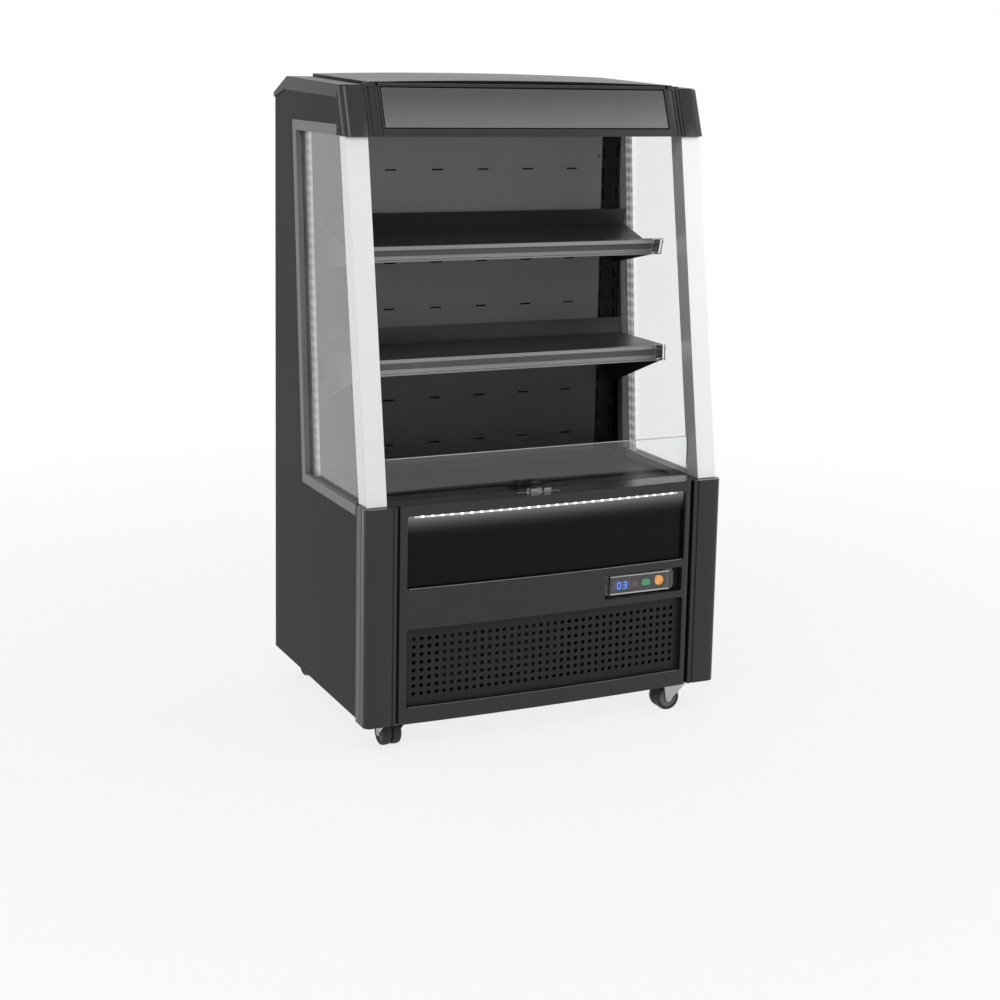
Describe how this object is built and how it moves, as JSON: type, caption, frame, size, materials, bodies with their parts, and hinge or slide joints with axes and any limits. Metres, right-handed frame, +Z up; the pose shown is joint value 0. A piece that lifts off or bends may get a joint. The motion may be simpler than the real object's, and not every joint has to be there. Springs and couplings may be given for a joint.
{
  "type": "open multideck display fridge",
  "caption": "Open-front refrigerated display cabinet on casters, with sloping glazed sides, a tilted and a level shelf, ticket rails, a canopy and a perforated plinth grille.",
  "frame": {"origin": "middle of the footprint, on the floor under the wheels", "axes": "+X to the viewer's right from the front, +Y to the rear, +Z up"},
  "size_m": [0.75, 0.537, 1.2488],
  "materials": {
    "black_sheet": "satin black powder coat",
    "black_moulding": "satin black moulding",
    "gloss_black": "glossy black",
    "grey_profile": "grey profile",
    "bright_aluminium": "anodised",
    "zinc": "zinc plated",
    "tyre": "black tread",
    "glass": "clear",
    "clear_plastic": "clear moulding",
    "light": "white lamps",
    "green": "green",
    "amber": "amber",
    "blue": "blue window",
    "galvanised": "galvanised"
  },
  "bodies": {
    "cabinet": {"left_side_panel": "black_sheet", "right_side_panel": "black_sheet", "left_shelf_upright": "black_sheet", "right_shelf_upright": "black_sheet", "rear_panel": "black_sheet", "service_cover": "black_sheet", "cold_tub": "black_sheet", "ceiling_panel": "black_sheet", "roof_cap": "black_sheet", "vent_grille": "black_sheet", "deck_pan": "black_sheet", "duct_panel": "black_sheet", "shelf_lower": "black_sheet", "shelf_upper": "black_sheet", "left_bracket_lower": "black_sheet", "right_bracket_lower": "black_sheet", "left_bracket_upper": "black_sheet", "right_bracket_upper": "black_sheet", "left_corner_post": "black_moulding", "right_corner_post": "black_moulding", "left_canopy_corner": "black_moulding", "right_canopy_corner": "black_moulding", "canopy_header": "black_moulding", "front_fascia": "black_moulding", "control_plate": "black_moulding", "front_sill": "black_moulding", "compressor": "black_moulding", "hood_cover": "gloss_black", "header_panel": "gloss_black", "display_panel": "gloss_black", "left_window_frame": "grey_profile", "right_window_frame": "grey_profile", "left_front_pillar": "bright_aluminium", "right_front_pillar": "bright_aluminium", "left_side_light_strip": "bright_aluminium", "right_side_light_strip": "bright_aluminium", "ticket_rail_lower": "bright_aluminium", "ticket_rail_upper": "bright_aluminium", "sill_catch": "zinc", "left_side_glass": "glass", "right_side_glass": "glass", "front_glass": "glass", "clear_cover": "clear_plastic", "front_light_strip": "light", "display_module": "blue", "base_chassis": "galvanised", "condenser": "galvanised", "evaporator": "galvanised"},
    "fork_front_left": {"caster_fork_front_left": "zinc"},
    "wheel_front_left": {"caster_wheel_front_left": "tyre"},
    "fork_front_right": {"caster_fork_front_right": "zinc"},
    "wheel_front_right": {"caster_wheel_front_right": "tyre"},
    "fork_rear_left": {"caster_fork_rear_left": "zinc"},
    "wheel_rear_left": {"caster_wheel_rear_left": "tyre"},
    "fork_rear_right": {"caster_fork_rear_right": "zinc"},
    "wheel_rear_right": {"caster_wheel_rear_right": "tyre"},
    "green_rocker": {"green_rocker": "green"},
    "amber_rocker": {"amber_rocker": "amber"},
    "condenser_fan": {"condenser_fan": "galvanised"},
    "evaporator_fan": {"evaporator_fan": "black_moulding"}
  },
  "joints": [
    {"name": "swivel_front_left", "type": "hinge", "parent": "cabinet", "child": "fork_front_left", "pos_m": [-0.305, -0.225, 0.052], "axis": [0, 0, 1], "continuous": true},
    {"name": "roll_front_left", "type": "hinge", "parent": "fork_front_left", "child": "wheel_front_left", "pos_m": [-0.305, -0.201, 0.025], "axis": [1, 0, 0], "continuous": true},
    {"name": "swivel_front_right", "type": "hinge", "parent": "cabinet", "child": "fork_front_right", "pos_m": [0.305, -0.225, 0.052], "axis": [0, 0, 1], "continuous": true},
    {"name": "roll_front_right", "type": "hinge", "parent": "fork_front_right", "child": "wheel_front_right", "pos_m": [0.281, -0.225, 0.025], "axis": [0, 1, 0], "continuous": true},
    {"name": "swivel_rear_left", "type": "hinge", "parent": "cabinet", "child": "fork_rear_left", "pos_m": [-0.305, 0.205, 0.052], "axis": [0, 0, 1], "continuous": true},
    {"name": "roll_rear_left", "type": "hinge", "parent": "fork_rear_left", "child": "wheel_rear_left", "pos_m": [-0.305, 0.229, 0.025], "axis": [1, 0, 0], "continuous": true},
    {"name": "swivel_rear_right", "type": "hinge", "parent": "cabinet", "child": "fork_rear_right", "pos_m": [0.305, 0.205, 0.052], "axis": [0, 0, 1], "continuous": true},
    {"name": "roll_rear_right", "type": "hinge", "parent": "fork_rear_right", "child": "wheel_rear_right", "pos_m": [0.305, 0.229, 0.025], "axis": [1, 0, 0], "continuous": true},
    {"name": "green_rocker_tilt", "type": "hinge", "parent": "cabinet", "child": "green_rocker", "pos_m": [0.2165, -0.2473, 0.274], "axis": [0, 0, 1], "range_deg": [0, 14]},
    {"name": "amber_rocker_tilt", "type": "hinge", "parent": "cabinet", "child": "amber_rocker", "pos_m": [0.2457, -0.2473, 0.2751], "axis": [0, 0, 1], "range_deg": [0, 14]},
    {"name": "condenser_fan_spin", "type": "hinge", "parent": "cabinet", "child": "condenser_fan", "pos_m": [-0.08, -0.1485, 0.1413], "axis": [0, 1, 0], "continuous": true},
    {"name": "evaporator_fan_spin", "type": "hinge", "parent": "cabinet", "child": "evaporator_fan", "pos_m": [0, 0.168, 0.646], "axis": [0, 1, 0], "continuous": true}
  ]
}
